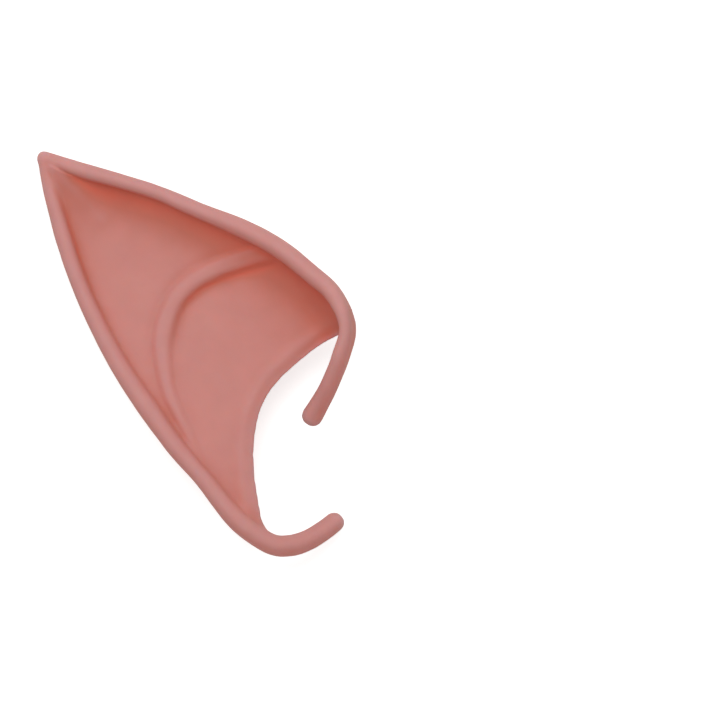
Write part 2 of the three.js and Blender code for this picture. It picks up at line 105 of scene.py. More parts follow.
def read(table, column, at):
    """A table's column at row numbers between its rows, on a smooth curve through them."""
    values = table[column]
    last = len(values) - 1
    before = np.clip(np.floor(at).astype(int), 0, last - 1)
    q = at - before
    a, b, c, d = (values[np.clip(before + step, 0, last)] for step in (-1, 0, 1, 2))
    square = 2 * a - 5 * b + 4 * c - d
    cube = 3 * b - a - 3 * c + d
    return b + 0.5 * q * (c - a + q * (square + q * cube))


def plan(table, at, x="x", y="y"):
    return np.stack([read(table, x, at) * EAR_WIDTH, read(table, y, at) * EAR_HEIGHT], axis=-1)


def unit(vectors):
    return vectors / np.linalg.norm(vectors, axis=-1, keepdims=True)


def rim_at(table, side, at):
    """The roll at some rows: its centre in plan, its direction, the way out, and its sizes."""
    last = len(table["x"]) - 1
    run = plan(table, np.minimum(at + ROW_NUDGE, last)) - plan(table, np.maximum(at - ROW_NUDGE, 0))
    along = unit(run)
    return {
        "centre": plan(table, at),
        "along": along,
        "out": side * np.stack([-along[..., 1], along[..., 0]], axis=-1),
        "level": read(table, "level", at) * EAR_DEPTH,
        "radius": read(table, "radius", at) * RIM_RADIUS,
        "drop": np.maximum(read(table, "drop", at), 0) * RIM_RADIUS,
        "lean": np.maximum(read(table, "lean", at), 0) * RIM_RADIUS,
    }


def link_mesh(name, points, edges=(), faces=()):
    mesh = bpy.data.meshes.new(name)
    mesh.from_pydata(np.asarray(points).reshape(-1, 3).tolist(), list(edges), list(faces))
    piece = bpy.data.objects.new(name, mesh)
    bpy.context.scene.collection.objects.link(piece)
    return piece


def store(piece, name, values):
    """Keeps a number or a vector for each point of a mesh."""
    values = np.asarray(values, np.float32)
    kind = "FLOAT" if values.ndim == 1 else "FLOAT_VECTOR"
    attribute = piece.data.attributes.new(name, kind, "POINT")
    attribute.data.foreach_set("value" if kind == "FLOAT" else "vector", values.ravel())


def add(tree, kind, inputs=None, **settings):
    """Adds a node with its settings. inputs gives sockets a value or another node's output."""
    node = tree.nodes.new(kind)
    for name, value in settings.items():
        setattr(node, name, value)
    for socket, value in (inputs or {}).items():
        if isinstance(value, bpy.types.NodeSocket):
            tree.links.new(value, node.inputs[socket])
        else:
            node.inputs[socket].default_value = value
    return node


def new_tree(name, sizes):
    """An empty geometry tree with named inputs for its sizes, and its first and last node."""
    tree = bpy.data.node_groups.new(name, "GeometryNodeTree")
    tree.interface.new_socket("Geometry", in_out="INPUT", socket_type="NodeSocketGeometry")
    tree.interface.new_socket("Geometry", in_out="OUTPUT", socket_type="NodeSocketGeometry")
    for size, kind in sizes.items():
        tree.interface.new_socket(size, in_out="INPUT", socket_type=kind)
    return tree, add(tree, "NodeGroupInput"), add(tree, "NodeGroupOutput")


def apply_tree(piece, tree, sizes):
    """Runs a geometry tree on a mesh with these sizes, and keeps the result as a plain mesh."""
    modifier = piece.modifiers.new(tree.name, "NODES")
    modifier.node_group = tree
    for item in tree.interface.items_tree:
        if item.in_out == "INPUT" and item.name in sizes:
            modifier[item.identifier] = sizes[item.name]
    keep_result(piece)


def keep_result(piece):
    """Replaces a piece's mesh by what its modifiers make of it, and removes them."""
    graph = bpy.context.evaluated_depsgraph_get()
    made = bpy.data.meshes.new_from_object(piece.evaluated_get(graph))
    piece.modifiers.clear()
    piece.data = made


UPPER_RIM = by_column(RIM_COLUMNS, UPPER_RIM)
LOWER_RIM = by_column(RIM_COLUMNS, LOWER_RIM)

# One latex for every part of the cap. Its look is given in its own section below.
latex = bpy.data.materials.new("moulded_flesh_latex")

# The roll's tree sweeps a circle along the path, then lets its lower half down to make the wall
# under it: "drop" is how far, and "out" times "lean" is how far that wall's foot stands out.
rim_tree, start, end = new_tree("roll along a path", {"Sides": "NodeSocketInt"})
curve = add(rim_tree, "GeometryNodeMeshToCurve", {"Mesh": start.outputs["Geometry"]})
radius = add(rim_tree, "GeometryNodeInputNamedAttribute", {"Name": "roll_radius"}, data_type="FLOAT")
drop = add(rim_tree, "GeometryNodeInputNamedAttribute", {"Name": "roll_drop"}, data_type="FLOAT_VECTOR")
position = add(rim_tree, "GeometryNodeInputPosition")
centred = add(
    rim_tree,
    "GeometryNodeStoreNamedAttribute",
    {"Geometry": curve.outputs["Curve"], "Name": "roll_centre", "Value": position.outputs["Position"]},
    data_type="FLOAT_VECTOR",
    domain="POINT",
)
level = add(
    rim_tree,
    "GeometryNodeSetCurveNormal",
    {"Curve": centred.outputs["Geometry"]},
    mode="Z_UP",
)
sized = add(
    rim_tree,
    "GeometryNodeSetCurveRadius",
    {"Curve": level.outputs["Curve"], "Radius": radius.outputs["Attribute"]},
)
circle = add(
    rim_tree,
    "GeometryNodeCurvePrimitiveCircle",
    {"Resolution": start.outputs["Sides"], "Radius": 1.0},
    mode="RADIUS",
)
sweep = add(
    rim_tree,
    "GeometryNodeCurveToMesh",
    {
        "Curve": sized.outputs["Curve"],
        "Profile Curve": circle.outputs["Curve"],
        "Scale": radius.outputs["Attribute"],
        "Fill Caps": True,
    },
)
centre = add(
    rim_tree,
    "GeometryNodeInputNamedAttribute",
    {"Name": "roll_centre"},
    data_type="FLOAT_VECTOR",
)
offset = add(
    rim_tree,
    "ShaderNodeVectorMath",
    {0: position.outputs["Position"], 1: centre.outputs["Attribute"]},
    operation="SUBTRACT",
)
height = add(rim_tree, "ShaderNodeSeparateXYZ", {"Vector": offset.outputs["Vector"]})
below = add(
    rim_tree,
    "FunctionNodeCompare",
    {"A": height.outputs["Z"], "B": 0.0},
    data_type="FLOAT",
    operation="LESS_THAN",
)
let_down = add(
    rim_tree,
    "GeometryNodeSetPosition",
    {
        "Geometry": sweep.outputs["Mesh"],
        "Selection": below.outputs["Result"],
        "Offset": drop.outputs["Attribute"],
    },
)
real = add(rim_tree, "GeometryNodeRealizeInstances", {"Geometry": let_down.outputs["Geometry"]})
moulded = add(
    rim_tree,
    "GeometryNodeSetMaterial",
    {"Geometry": real.outputs["Geometry"], "Material": latex},
)
rim_tree.links.new(moulded.outputs["Geometry"], end.inputs["Geometry"])


def rolled_rim(name, table, side):
    """The roll from the cap's point to the end of its hook, both ends rounded."""
    last = len(table["x"]) - 1
    turn = (np.arange(CAP_STEPS) + CAP_FIRST_STEP) / CAP_STEPS * math.pi / 2
    steps = np.linspace(0, last, last * RIM_STEPS_PER_ROW + 1)
    at = np.concatenate([np.zeros(CAP_STEPS), steps, np.full(CAP_STEPS, last)])
    rim = rim_at(table, side, at)
    round_end = np.cos(np.minimum(turn, math.pi / 2 - ROW_NUDGE)) ** CAP_ROUNDNESS
    shrink = np.concatenate([round_end[::-1], np.ones(len(steps)), round_end])
    shift = np.concatenate([-np.sin(turn[::-1]), np.zeros(len(steps)), np.sin(turn)])
    centre = rim["centre"] + rim["along"] * (shift * rim["radius"])[:, None]
    points = np.column_stack([centre, rim["level"]])
    foot = np.column_stack([rim["out"] * rim["lean"][:, None], -rim["drop"]]) * shrink[:, None]
    path = link_mesh(name, points, edges=[(i, i + 1) for i in range(len(points) - 1)])
    store(path, "roll_radius", rim["radius"] * shrink)
    store(path, "roll_drop", foot)
    apply_tree(path, rim_tree, {"Sides": RIM_SIDES})
    return path


upper_roll = rolled_rim("upper_roll", UPPER_RIM, 1)
lower_roll = rolled_rim("lower_roll", LOWER_RIM, -1)

# The skin
# Between the two rolls the cap is a hollow skin of latex, a sunken panel in front and a rounded
# back that lies flat where it rests. The wearer's ear goes into the pocket between them, and the
# panel is a step lower inside the curved ridge than outside it.
WALL = 1.3 * MM
BOWL_STEP = 1.1 * MM
BOWL_REACH = 0.25 * EAR_WIDTH
BOWL_BLEND = 0.06 * EAR_WIDTH
RIDGE_OUTER_WIDTH = 2.1 * MM
RIDGE_INNER_WIDTH = 4 * MM
STEP_START = 1.9 * MM
STEP_RUN = 3 * MM
BACK_SQUARENESS = 2.7
WALL_FALL = 2.4
WALL_SPAN = 0.6
SIDE_COVER = 0.8
CEILING_SLOPE = 2
TIP_START = 0.12
POCKET_TIP_GAP = 1 * MM
POCKET_SIDE_GAP = 0.4 * MM
POCKET_PROBES = 400
OVERRUN = 2 * MM
RIM_CROWDING = 0.6
SKIN_STEPS_PER_ROW = 16
SKIN_COLUMNS = 120
POCKET_STEPS_PER_ROW = 8
POCKET_COLUMNS = 60

# Floors and backs are shares of the depth, fillets of the width, at each row of the two rims.
SECTION_COLUMNS = ("lower_floor", "upper_floor", "lower_fillet", "upper_fillet", "lower_back", "upper_back")
SECTIONS = by_column(SECTION_COLUMNS, [
    (0.3, 0.3, 0.03, 0.05, 0.1, 0.1),
    (0.285, 0.25, 0.06, 0.09, 0.04, 0.04),
    (0.24, 0.205, 0.09, 0.13, 0, 0),
    (0.26, 0.255, 0.09, 0.15, -0.025, -0.025),
    (0.33, 0.32, 0.095, 0.16, -0.04, -0.04),
    (0.4, 0.39, 0.095, 0.16, -0.04, -0.04),
    (0.46, 0.45, 0.095, 0.16, -0.04, -0.04),
    (0.51, 0.5, 0.09, 0.15, -0.04, -0.04),
    (0.545, 0.545, 0.08, 0.13, -0.02, 0),
    (0.555, 0.575, 0.07, 0.1, 0.1, 0.125),
    (0.54, 0.59, 0.06, 0.08, 0.36, 0.3),
])
LAST_SECTION = len(SECTIONS["lower_floor"]) - 1

# The ridge's path over the panel. rise, step and width are shares of its full sizes.
RIDGE = by_column(("x", "y", "rise", "step", "width"), [
    (0.76, 0.765, 0.7, 0.8, 1.1),
    (0.692, 0.748, 0.9, 1, 1.05),
    (0.631, 0.733, 1, 1, 1),
    (0.563, 0.714, 1, 1, 1),
    (0.498, 0.688, 1, 0.9, 1),
    (0.444, 0.65, 1, 0.7, 1),
    (0.41, 0.603, 1, 0.5, 1),
    (0.39, 0.546, 0.95, 0.4, 1),
    (0.389, 0.497, 0.9, 0.35, 0.85),
    (0.399, 0.44, 0.9, 0.3, 0.75),
    (0.419, 0.386, 0.9, 0.25, 0.65),
    (0.454, 0.33, 0.8, 0.2, 0.55),
    (0.49, 0.275, 0.5, 0.1, 0.45),
    (0.53, 0.215, 0, 0, 0.45),
])
RIDGE_STEPS_PER_ROW = 4
LAST_RIDGE_ROW = len(RIDGE["x"]) - 1
RIDGE_ROWS = np.linspace(0, LAST_RIDGE_ROW, LAST_RIDGE_ROW * RIDGE_STEPS_PER_ROW + 1)


def mix(a, b, share):
    return a + (b - a) * share


def bowl_at(points):
    """How much lower the panel lies at points in plan because they are inside the ridge."""
    line = plan(RIDGE, RIDGE_ROWS)
    run = line[1:] - line[:-1]
    offset = points[..., None, :] - line[:-1]
    share = np.clip((offset * run).sum(-1) / (run * run).sum(-1), 0, 1)
    apart = np.linalg.norm(offset - run * share[..., None], axis=-1)
    closest = apart.argmin(-1)[..., None]
    distance = np.take_along_axis(apart, closest, -1)[..., 0]
    cross = run[:, 0] * offset[..., 1] - run[:, 1] * offset[..., 0]
    side = np.sign(np.take_along_axis(cross, closest, -1)[..., 0])
    reach = np.linalg.norm(points[..., None, :] - line, axis=-1)
    weights = np.exp((distance[..., None] - reach) / BOWL_BLEND)
    step = (weights * read(RIDGE, "step", RIDGE_ROWS)).sum(-1) / weights.sum(-1)
    ramp = np.clip((side * distance - STEP_START) / STEP_RUN, 0, 1)
    inside = ramp * ramp * (3 - 2 * ramp)
    return step * BOWL_STEP * inside * np.exp(-distance / BOWL_REACH)


def section_at(at):
    """Sections across the cap at some rows, each with its sides and the functions of its levels."""
    rims = rim_at(LOWER_RIM, -1, at), rim_at(UPPER_RIM, 1, at)
    reaches = [rim["radius"] * SIDE_COVER + rim["lean"] / 2 for rim in rims]
    sides = [rim["centre"] + rim["out"] * reach[:, None] for rim, reach in zip(rims, reaches)]
    side_levels = [rim["level"] - rim["drop"] / 2 for rim in rims]
    width = np.linalg.norm(sides[1] - sides[0], axis=-1)
    column = {name: read(SECTIONS, name, at)[:, None] for name in SECTION_COLUMNS}

    def point(s):
        return mix(sides[0][:, None], sides[1][:, None], s[..., None])

    def back(s):
        bend = np.abs(2 * s - 1) ** BACK_SQUARENESS
        arch = np.maximum(1 - bend, 0) ** (1 / BACK_SQUARENESS)
        bottom = mix(column["lower_back"], column["upper_back"], s) * EAR_DEPTH
        side_level = mix(side_levels[0][:, None], side_levels[1][:, None], s)
        return np.maximum(mix(side_level, bottom, arch), 0)

    def front(s):
        floor = mix(column["lower_floor"], column["upper_floor"], s) * EAR_DEPTH
        total = floor - bowl_at(point(s))
        for rim, reach, name, apart in zip(rims, reaches, ("lower", "upper"), (s, 1 - s)):
            span = np.minimum(column[name + "_fillet"] * EAR_WIDTH, width[:, None] * WALL_SPAN)
            run = np.maximum(apart * width[:, None] - reach[:, None], 0) / span
            total = total + (rim["level"][:, None] - floor) * np.maximum(1 - run, 0) ** WALL_FALL
        return total

    def under_rims(s):
        undersides = []
        for rim, apart in zip(rims, (s, 1 - s)):
            beyond = np.maximum(apart * width[:, None] - 2 * rim["radius"][:, None], 0)
            under = (rim["level"] - rim["drop"] - rim["radius"])[:, None]
            undersides.append(under + beyond * CEILING_SLOPE)
        return np.minimum(*undersides)

    return sides, side_levels, width, point, back, front, under_rims


def column_shares(columns):
    even = np.arange(1, columns) / columns
    return mix(even, (1 - np.cos(math.pi * even)) / 2, RIM_CROWDING)


def lift(points, levels):
    return np.concatenate([points, levels[..., None]], axis=-1)


def loft(name, rings):
    """A closed mesh through rings of equally many points, with a flat face across each end."""
    rings = np.asarray(rings)
    numbers = np.arange(rings.shape[0] * rings.shape[1]).reshape(rings.shape[:2])
    ahead = np.roll(numbers, -1, axis=1)
    around = np.stack([numbers[:-1], ahead[:-1], ahead[1:], numbers[1:]], axis=-1)
    faces = around.reshape(-1, 4).tolist() + [numbers[0][::-1].tolist(), numbers[-1].tolist()]
    piece = link_mesh(name, rings, faces=faces)
    shell = bmesh.new()
    shell.from_mesh(piece.data)
    bmesh.ops.recalc_face_normals(shell, faces=shell.faces)
    shell.to_mesh(piece.data)
    shell.free()
    return piece


def outside():
    """The outside of the pocket, filled in, and the points of its front for later."""
    rows = np.linspace(TIP_START, LAST_SECTION, int(LAST_SECTION * SKIN_STEPS_PER_ROW))
    sides, side_levels, _, point, back, front, _ = section_at(rows)
    over_shares = np.tile(column_shares(SKIN_COLUMNS), (len(rows), 1))
    under_shares = np.tile(column_shares(SKIN_COLUMNS // 2)[::-1], (len(rows), 1))
    over = lift(point(over_shares), front(over_shares))
    under = lift(point(under_shares), back(under_shares))
    ends = [lift(side, level)[:, None] for side, level in zip(sides, side_levels)]
    rings = np.concatenate([ends[0], over, ends[1], under], axis=1)
    return loft("skin", rings), over.reshape(-1, 3)


def pocket():
    """The space that the wearer's ear goes into, run out past the skin's open end."""
    rows = np.linspace(TIP_START, LAST_SECTION, int(LAST_SECTION * POCKET_STEPS_PER_ROW))
    probes = np.linspace(0, 1, POCKET_PROBES + 1)
    rings = []
    for row in rows:
        _, _, width, point, back, front, under_rims = section_at(np.array([row]))
        shift = WALL / width[0]

        def floor_and_ceiling(s):
            beside = np.maximum(s - shift, 0)[None], np.minimum(s + shift, 1)[None]
            floor = np.maximum(back(beside[0]), back(beside[1])) + WALL
            roof = np.minimum(front(beside[0]), front(beside[1])) - WALL
            return floor[0], np.minimum(roof, under_rims(s[None]))[0]

        floor, ceiling = floor_and_ceiling(probes)
        room = ceiling - floor
        if room.max() < POCKET_TIP_GAP:
            rings.clear()
            continue
        open_shares = probes[room > POCKET_SIDE_GAP]
        inner = mix(open_shares[0], open_shares[-1], column_shares(POCKET_COLUMNS))
        s = np.concatenate([open_shares[:1], inner, open_shares[-1:], inner[::-1]])
        floor, ceiling = floor_and_ceiling(s)
        levels = floor.copy()
        levels[: len(inner) + 1] = ceiling[: len(inner) + 1]
        for side in (0, len(inner) + 1):
            levels[side] = (floor[side] + ceiling[side]) / 2
        rings.append(lift(point(s[None])[0], levels))
    run = rings[-1][len(inner) + 1, :2] - rings[-1][0, :2]
    outward = unit(np.array([run[1], -run[0]])) * OVERRUN
    rings.append(rings[-1] + np.append(outward, 0))
    return loft("pocket", rings)


skin, panel_points = outside()
pocket_space = pocket()

# The mouth
# The real cap is trimmed at the mouth with scissors, further back on the side that lies against
# the head than on the panel in front, which leaves a plain cut edge as thick as the skin.

# x and y are the panel's edge, back_x and back_y the back's, and bend the height, as a share of
# the depth, from which the side runs back from the one to the other.
MOUTH_COLUMNS = ("x", "y", "back_x", "back_y", "bend")
MOUTH = by_column(MOUTH_COLUMNS, [
    (0.965, 0.549, 0.99, 0.64, 0.56),
    (0.93, 0.535, 0.93, 0.61, 0.54),
    (0.887, 0.5155, 0.87, 0.565, 0.5),
    (0.843, 0.49, 0.81, 0.525, 0.45),
    (0.8, 0.461, 0.76, 0.49, 0.4),
    (0.76, 0.43, 0.715, 0.455, 0.375),
    (0.7265, 0.3955, 0.68, 0.415, 0.35),
    (0.703, 0.356, 0.655, 0.37, 0.34),
    (0.691, 0.315, 0.642, 0.32, 0.34),
    (0.683, 0.26, 0.635, 0.265, 0.34),
    (0.686, 0.205, 0.635, 0.21, 0.35),
    (0.693, 0.161, 0.64, 0.17, 0.36),
    (0.702, 0.117, 0.64, 0.135, 0.375),
    (0.711, 0.083, 0.635, 0.105, 0.45),
    (0.733, 0.055, 0.61, 0.08, 0.525),
])
MOUTH_OUTSIDE = by_column(MOUTH_COLUMNS, [
    (0.68, -0.2, 0.54, -0.2, 0.525),
    (1.3, -0.2, 1.3, -0.2, 0.375),
    (1.3, 0.56, 1.3, 0.66, 0.75),
])
MOUTH_STEPS_PER_ROW = 6
LAST_MOUTH_ROW = len(MOUTH["x"]) - 1
MOUTH_ROWS = np.linspace(0, LAST_MOUTH_ROW, LAST_MOUTH_ROW * MOUTH_STEPS_PER_ROW + 1)


def mouth_cut():
    corners = np.arange(len(MOUTH_OUTSIDE["x"])).astype(float)
    tables = ((MOUTH, MOUTH_ROWS), (MOUTH_OUTSIDE, corners))
    edge = np.concatenate([plan(table, at) for table, at in tables])
    back_edge = np.concatenate([plan(table, at, "back_x", "back_y") for table, at in tables])
    bend = np.concatenate([read(table, "bend", at) for table, at in tables]) * EAR_DEPTH
    level = np.ones(len(edge))
    top = EAR_DEPTH + RIM_RADIUS + OVERRUN
    rings = [lift(back_edge, -OVERRUN * level), lift(edge, bend), lift(edge, top * level)]
    return loft("mouth_cut", rings)


mouth_space = mouth_cut()
for cutter in (pocket_space, mouth_space):
    cut = skin.modifiers.new(cutter.name, "BOOLEAN")
    cut.operation = "DIFFERENCE"
    cut.solver = "MANIFOLD"
    cut.object = cutter
keep_result(skin)
for cutter in (pocket_space, mouth_space):
    bpy.data.objects.remove(cutter)

# The casting
# Skin, rolls and hooks are one casting in soft latex, so every inner corner is filled by a soft
# fillet and the cut edge has lost its sharpness. The ridge, the lip along the mouth and the
# shallow grooves beside them and beside the rolls are part of the mould's front face.
CASTING_GRAIN = 0.52 * MM
SOFTENING_STEPS = 6
WAVE_LENGTH = 9 * MM
WAVE_HEIGHT = 0.25 * MM
FACE_DEPTH = 0.75 * MM
FACE_FADE = 0.3 * MM
RELIEF_SMOOTHINGS = 2
RIDGE_RISE = 0.65 * MM
RIDGE_FLATNESS = 3.5
RIDGE_FOOT = 1.3
INNER_GROOVE = 0.3 * MM
OUTER_GROOVE = 0.45 * MM
INNER_GROOVE_FADE = 2.6 * MM
OUTER_GROOVE_FADE = 1.3 * MM
BOWL_GROOVE = 1.2
POINT_FILL = 1.1 * MM
POINT_FILL_SPREAD = 2.8 * MM
POINT_FILL_RUN = by_column(("x", "y"), [(0.06, 0.96), (0.2, 0.84)])
POINT_FILL_ENDS = np.array([0.0, 1.0])
LIP_RISE = 0.4 * MM
LIP_HALF_WIDTH = 2.4 * MM
LIP_INSET = 3.2 * MM
LIP_LAST_ROW = 13

casting = bmesh.new()
for shell in (skin, upper_roll, lower_roll):
    casting.from_mesh(shell.data)
ear_mesh = bpy.data.meshes.new("elf_ear_cap")
casting.to_mesh(ear_mesh)
casting.free()
for shell in (skin, upper_roll, lower_roll):
    bpy.data.objects.remove(shell)
ear = bpy.data.objects.new("elf_ear_cap", ear_mesh)
bpy.context.scene.collection.objects.link(ear)

grain = ear.modifiers.new("one casting", "REMESH")
grain.mode = "VOXEL"
grain.voxel_size = CASTING_GRAIN
waves = bpy.data.textures.new("uneven casting", "CLOUDS")
waves.noise_scale = WAVE_LENGTH
uneven = ear.modifiers.new("uneven casting", "DISPLACE")
uneven.texture = waves
uneven.texture_coords = "LOCAL"
uneven.strength = WAVE_HEIGHT
soften = ear.modifiers.new("soft fillets", "SMOOTH")
soften.factor = 0.5
soften.iterations = SOFTENING_STEPS
keep_result(ear)


def path_beside(line, points):
    """For points in plan, the distance to a path, the side of it and the place along it in rows."""
    run = line[1:] - line[:-1]
    nearest = np.full(len(points), np.inf)
    side = np.zeros(len(points))
    place = np.zeros(len(points))
    for number, (begin, step) in enumerate(zip(line[:-1], run)):
        offset = points - begin
        share = np.clip(offset @ step / (step @ step), 0, 1)
        apart = np.linalg.norm(offset - share[:, None] * step, axis=1)
        closer = apart < nearest
        nearest = np.where(closer, apart, nearest)
        side = np.where(closer, np.sign(step[0] * offset[:, 1] - step[1] * offset[:, 0]), side)
        place = np.where(closer, number + share, place)
    return nearest, side, place


def vectors_of(points, name):
    """The named vector of each point of a mesh."""
    values = np.empty(len(points) * 3, np.float32)
    points.foreach_get(name, values)
    return values.reshape(-1, 3).astype(float)


spot = vectors_of(ear.data.vertices, "co")
blank_facing = vectors_of(ear.data.vertex_normals, "vector")

face_tree = KDTree(len(panel_points))
for number, panel_point in enumerate(panel_points):
    face_tree.insert(panel_point, number)
face_tree.balance()
apart = np.array([face_tree.find(at)[2] for at in spot])
on_face = np.clip((FACE_DEPTH - apart) / FACE_FADE, 0, 1) * (blank_facing[:, 2] > 0)

edges = np.empty(len(ear.data.edges) * 2, np.int32)
ear.data.edges.foreach_get("vertices", edges)
edges = edges.reshape(-1, 2)
neighbours = np.maximum(np.bincount(edges.ravel(), minlength=len(spot)), 1)


def smoothed(values, steps):
    """Numbers at the mesh's points, evened out along its edges."""
    for _ in range(steps):
        total = np.bincount(edges[:, 0], values[edges[:, 1]], len(spot))
        total += np.bincount(edges[:, 1], values[edges[:, 0]], len(spot))
        values = (values + total / neighbours) / 2
    return values


def bump_profile(share):
    return np.where(np.abs(share) < 1, np.cos(np.clip(share, -1, 1) * math.pi / 2) ** 2, 0)


distance, side, place = path_beside(plan(RIDGE, RIDGE_ROWS), spot[:, :2])
row = place / RIDGE_STEPS_PER_ROW
inside = side > 0
ridge_width = read(RIDGE, "width", row)
half_width = np.where(inside, RIDGE_INNER_WIDTH, RIDGE_OUTER_WIDTH) * ridge_width
ridge_height = read(RIDGE, "rise", row)
crest = np.maximum(1 - (distance / half_width) ** RIDGE_FLATNESS, 0) ** RIDGE_FOOT
raised = RIDGE_RISE * ridge_height * crest
deeper = 1 + inside * BOWL_GROOVE * read(RIDGE, "step", row)
groove = np.where(inside, INNER_GROOVE, OUTER_GROOVE * ridge_width) * ridge_height * deeper
groove_fade = np.where(inside, INNER_GROOVE_FADE, OUTER_GROOVE_FADE) * deeper
groove *= np.exp(-np.maximum(distance - half_width, 0) / groove_fade)
raised -= groove * (1 - crest)

distance, side, place = path_beside(plan(MOUTH, MOUTH_ROWS), spot[:, :2])
row = place / MOUTH_STEPS_PER_ROW
lip_fade = np.clip(np.minimum(row, LIP_LAST_ROW - row), 0, 1)
raised += LIP_RISE * lip_fade * bump_profile((distance - LIP_INSET) / LIP_HALF_WIDTH)
distance, _, place = path_beside(plan(POINT_FILL_RUN, POINT_FILL_ENDS), spot[:, :2])
raised += POINT_FILL * (1 - place / 2) * np.exp(-((distance / POINT_FILL_SPREAD) ** 2))
spot[:, 2] += smoothed(raised * on_face, RELIEF_SMOOTHINGS)

low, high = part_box("ear_skin")
middle = (spot.min(0) + spot.max(0)) / 2
spot[:, 0] += (low.x + high.x) / 2 - middle[0]
spot[:, 1] += (low.y + high.y) / 2 - middle[1]
spot[:, 2] += low.z - spot[:, 2].min()
ear.data.vertices.foreach_set("co", spot.astype(np.float32).ravel())
ear.data.update()
for face in ear.data.polygons:
    face.use_smooth = True

# The latex
# Soft moulded latex, coloured through, matt and a little translucent. Its colour carries painted
# shade: it turns deeper and redder wherever less of a soft light from the upper edge reaches, in
# hollows, creases, under the rims and on sides turned away from it. All that stands proud turns
# paler and pinker, partly from powder against sticking and partly as a painted highlight. Its
# pores are too fine to show at their size, so they are drawn coarser.
LIGHT_FROM = np.array([-0.25, 0.82, 0.51])
SKY_TURNS = 24
SKY_TILTS = 6
TABLE_BOUNCE = 0.65
TABLE_FADE = 16 * MM
TABLE_HORIZON = 0.1
LOW_LIGHT_SHARE = 0.34
LOW_LIGHT_START = 0.07
LOW_LIGHT_FULL = 0.72
SHADE_START = 0.8 * MM
SHADE_REACH = 34 * MM
SHADE_STEPS = 26
SHADE_SMOOTHINGS = 10
CURL_SMOOTHINGS = 20
CURL_DEPTH = 0.3 * MM
CREASE_SHADE = 0.15
HIDDEN_LIGHT = 0.7
HIDDEN_DEPTH = 1.5 * MM
POWDER_AND_HIGHLIGHT = 0.7
BLOTCH_SIZE = 7 * MM
PORE_SIZE = 0.7 * MM
PORE_DEPTH = 0.015 * MM
GRID = 0.5 * MM
GRID_EDGE = 60 * MM

# The height of the casting seen from above, on a grid.
ear_tree = BVHTree.FromPolygons(spot.tolist(), [tuple(face.vertices) for face in ear.data.polygons])
cells = int(2 * GRID_EDGE / GRID)
heights = np.zeros((cells, cells))
for i in range(cells):
    for j in range(cells):
        above = Vector((i * GRID - GRID_EDGE, j * GRID - GRID_EDGE, 2 * EAR_DEPTH))
        if abs(above.x) < high.x and abs(above.y) < high.y:
            found = ear_tree.ray_cast(above, Vector((0, 0, -1)))[0]
            heights[i, j] = found.z if found else 0


def height_at(points):
    cell = np.clip(((points + GRID_EDGE) / GRID).round().astype(int), 0, cells - 1)
    return heights[cell[:, 0], cell[:, 1]]


# How much of a soft light from one side reaches each point past what stands round it. What it
# misses is painted into the colour as shade.
facing = vectors_of(ear.data.vertex_normals, "vector")
received = np.zeros(len(spot))
unshaded = 0
low_shade = np.zeros(len(spot))
low_total = 0
bounce = TABLE_BOUNCE * np.exp(-spot[:, 2] / TABLE_FADE)
for turn in np.arange(SKY_TURNS) * 2 * math.pi / SKY_TURNS:
    way = np.array([math.cos(turn), math.sin(turn)])
    horizon = np.zeros(len(spot))
    for far in np.geomspace(SHADE_START, SHADE_REACH, SHADE_STEPS):
        rise = height_at(spot[:, :2] + way * far) - spot[:, 2]
        horizon = np.maximum(horizon, np.arctan2(rise, far))
    towards = max(way @ LIGHT_FROM[:2], 0) ** 2
    low_shade += towards * np.clip((horizon - LOW_LIGHT_START) / LOW_LIGHT_FULL, 0, 1)
    low_total += towards
    for tilt in (np.arange(SKY_TILTS) + 0.5) * math.pi / 2 / SKY_TILTS:
        ray = np.array([*way * math.cos(tilt), math.sin(tilt)])
        bright = ((1 + ray @ LIGHT_FROM) / 2) ** 2 * math.cos(tilt)
        seen = np.clip((tilt - horizon) * SKY_TILTS * 2 / math.pi + 0.5, 0, 1)
        received += bright * seen * np.maximum(facing @ ray, 0)
        unshaded += bright * math.sin(tilt)
        table = bounce * math.cos(tilt) * np.clip(1 - horizon / TABLE_HORIZON, 0, 1)
        received += table * np.maximum(facing @ (ray * [1, 1, -1]), 0)
lit = np.clip(received / unshaded, 0, 1)
from_above = np.clip(1 - (height_at(spot[:, :2]) - spot[:, 2]) / HIDDEN_DEPTH, 0, 1)
shade = 1 - mix(HIDDEN_LIGHT, lit, from_above) + LOW_LIGHT_SHARE * low_shade / low_total * from_above
# The painted shade is evened out, with more of it painted into creases where the surface curls in.
evened = np.stack([smoothed(spot[:, axis], CURL_SMOOTHINGS) for axis in range(3)], axis=-1)
curl = smoothed(((spot - evened) * facing).sum(-1), SHADE_SMOOTHINGS) / CURL_DEPTH
shade = smoothed(shade, SHADE_SMOOTHINGS) + CREASE_SHADE * np.clip(-curl, 0, 1)
# Stored as painted shade for the colour ramp of the latex.
store(ear, "painted_shade", shade)
store(ear, "proud", np.clip(curl, 0, 1))


def linear(hex_colour):
    """An sRGB hex colour as linear red, green and blue, and full opacity."""
    channels = [int(hex_colour[i : i + 2], 16) / 255 for i in (1, 3, 5)]
    return [c / 12.92 if c <= 0.04045 else ((c + 0.055) / 1.055) ** 2.4 for c in channels] + [1]


